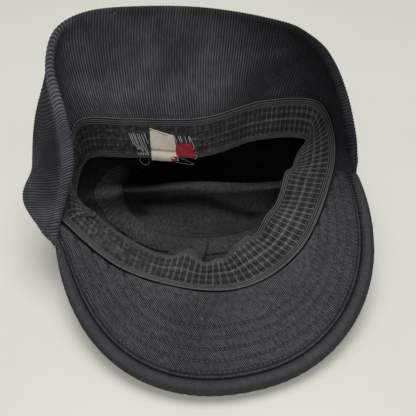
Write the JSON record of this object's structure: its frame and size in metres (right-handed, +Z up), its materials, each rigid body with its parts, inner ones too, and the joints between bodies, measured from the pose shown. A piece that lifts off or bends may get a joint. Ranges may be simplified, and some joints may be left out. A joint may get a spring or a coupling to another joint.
{
  "type": "cadet cap",
  "caption": "Soft cadet cap with a curved visor, elastic sweatband and fold-down ribbed ear band, lying upside down on its crown.",
  "frame": {"origin": "middle of the cap's outline from above, on the surface that its crown lies on", "axes": "-Y towards the visor, +Z up out of the head opening, +X to the right seen from the visor"},
  "size_m": [0.2237, 0.2326, 0.1232],
  "materials": {
    "cap_cloth": "brushed cotton twill, faded black",
    "visor_cloth": "cotton twill over a stiff board, faded black",
    "band_elastic": "waffle-woven elastic, charcoal and olive grey",
    "knit_yarn": "ribbed knit, blue black",
    "label_ribbon": "satin ribbon, cream",
    "tab_ribbon": "woven ribbon, dark red"
  },
  "bodies": {
    "root": {"crown_right_panel": "cap_cloth", "crown_left_panel": "cap_cloth", "crown_top_panel": "cap_cloth", "visor": "visor_cloth", "sweatband": "band_elastic", "ear_band": "knit_yarn", "care_label": "label_ribbon", "woven_tab": "tab_ribbon"}
  },
  "joints": []
}
